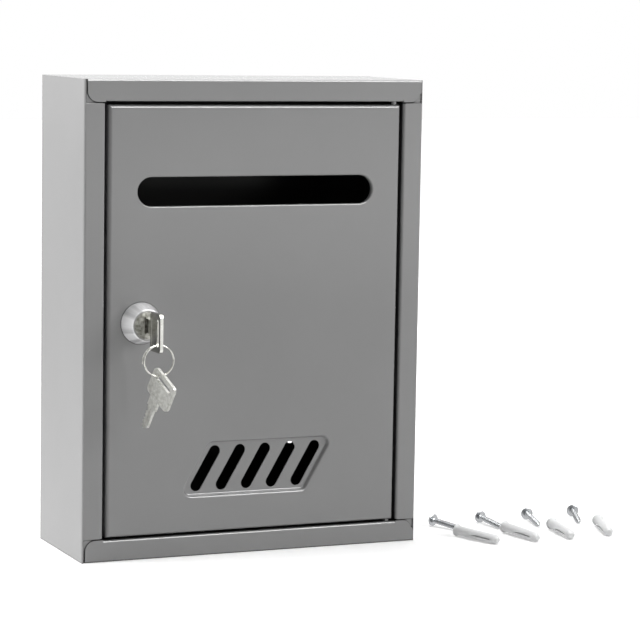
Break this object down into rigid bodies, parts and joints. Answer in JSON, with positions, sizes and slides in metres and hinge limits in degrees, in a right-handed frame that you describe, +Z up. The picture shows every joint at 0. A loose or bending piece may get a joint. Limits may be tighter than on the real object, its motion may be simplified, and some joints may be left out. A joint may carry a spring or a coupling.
{
  "type": "donation box",
  "caption": "Wall-hung sheet-steel collection box with a hinged, key-locked front door, a long rounded posting slot near its top and slanted vent slots below.",
  "frame": {"origin": "middle of the case's underside, on the surface it stands on", "axes": "+X to the right seen from the front, +Y to the back (the wall), +Z up; the door faces -Y"},
  "size_m": [0.378, 0.1386, 0.305],
  "materials": {
    "case_paint": "semi-gloss mid grey powder coat",
    "door_paint": "semi-gloss mid grey powder coat",
    "lock_chrome": "polished chrome plate",
    "lock_nickel": "satin nickel plate",
    "wafer_brass": "stamped brass",
    "spring_steel": "spring wire",
    "zinc": "bright zinc plate",
    "key_nickel": "satin nickel plate",
    "ring_steel": "bright nickel plate",
    "screw_zinc": "bright zinc plate",
    "plug_nylon": "natural white nylon"
  },
  "bodies": {
    "case": {"body_wrap": "case_paint", "top_pan": "case_paint", "bottom_pan": "case_paint", "upper_hinge_pin": "zinc", "lower_hinge_pin": "zinc", "wall_screws": "screw_zinc", "wall_plugs": "plug_nylon"},
    "door": {"door_panel": "door_paint", "lock_housing": "lock_chrome", "lock_washer": "zinc", "lock_nut": "zinc"},
    "lock_core": {"lock_plug": "lock_nickel", "lock_wafers": "wafer_brass", "wafer_springs": "spring_steel", "stop_washer": "zinc", "lock_cam": "zinc", "spring_washer": "zinc", "cam_nut": "zinc"},
    "key": {"key": "key_nickel"},
    "ring": {"key_ring": "ring_steel"},
    "spare": {"spare_key": "key_nickel"}
  },
  "joints": [
    {"name": "door_hinge", "type": "hinge", "parent": "case", "child": "door", "pos_m": [0.0967, -0.0395, 0.1525], "axis": [0, 0, 1], "range_deg": [0, 100]},
    {"name": "lock_turn", "type": "hinge", "parent": "door", "child": "lock_core", "pos_m": [-0.0779, -0.044, 0.1517], "axis": [0, 1, 0], "range_deg": [0, 90]},
    {"name": "key_slide", "type": "slide", "parent": "lock_core", "child": "key", "axis": [0, -1, 0], "range_m": [0, 0.02]},
    {"name": "ring_swing", "type": "hinge", "parent": "key", "child": "ring", "pos_m": [-0.0779, -0.0775, 0.13883], "axis": [0, 1, 0], "range_deg": [-92, 2]},
    {"name": "spare_key_swing", "type": "hinge", "parent": "ring", "child": "spare", "pos_m": [-0.0779, -0.0775, 0.1224], "axis": [1, 0, 0], "range_deg": [-30, 25]}
  ],
  "couplings": [
    {"joint": "ring_swing", "follows": "lock_turn", "ratio": -1}
  ]
}
